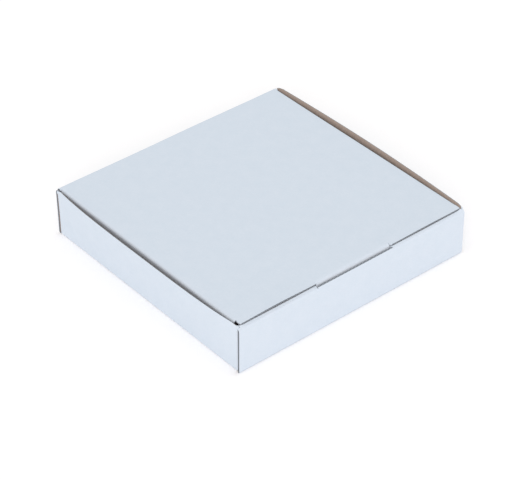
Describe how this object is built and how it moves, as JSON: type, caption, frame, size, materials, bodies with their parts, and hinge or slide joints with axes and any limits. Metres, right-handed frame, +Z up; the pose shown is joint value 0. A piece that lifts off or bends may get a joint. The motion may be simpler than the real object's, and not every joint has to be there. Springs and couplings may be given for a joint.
{
  "type": "mailer box",
  "caption": "Flat square mailer box folded from one sheet of white-faced corrugated board, with a hinged lid whose side flaps and front lock tab tuck into the tray.",
  "frame": {"origin": "middle of the floor's underside, where the box rests on a table", "axes": "+Z up out of the box, -Y towards the front wall with the lock slot, +Y towards the lid's crease, +X to the right seen from the front"},
  "size_m": [0.2078, 0.2, 0.0392],
  "materials": {
    "white_faced_board": "matt white outer liner, brown kraft inner liner and cut edges"
  },
  "bodies": {
    "tray": {"tray": "white_faced_board"},
    "lid": {"lid": "white_faced_board"}
  },
  "joints": [
    {"name": "lid_hinge", "type": "hinge", "parent": "tray", "child": "lid", "pos_m": [0, 0.0992, 0.0374], "axis": [-1, 0, 0], "range_deg": [0, 175]}
  ]
}
